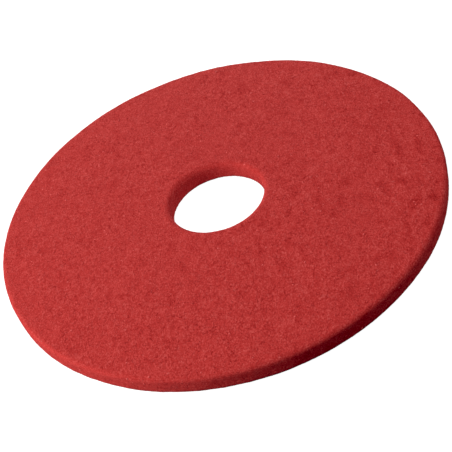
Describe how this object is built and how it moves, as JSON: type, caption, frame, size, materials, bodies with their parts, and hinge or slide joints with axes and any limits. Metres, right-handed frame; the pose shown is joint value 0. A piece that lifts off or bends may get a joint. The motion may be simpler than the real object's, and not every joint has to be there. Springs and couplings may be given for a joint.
{
  "type": "rotary floor machine pad",
  "caption": "Flat ring of thick non-woven fibre with soft edges and a round centre hole, for the pad driver of a rotary floor machine.",
  "frame": {"origin": "centre of the pad's outline, on the floor face", "axes": "+Z along the pad's own axis, from the floor face to the face that the pad driver grips; X and Y lie in the plane of the pad and are alike"},
  "size_m": [0.432, 0.432, 0.019],
  "materials": {
    "nonwoven_fibre": "matt red resin-bonded non-woven fibre"
  },
  "bodies": {
    "root": {"floor_pad": "nonwoven_fibre"}
  },
  "joints": []
}
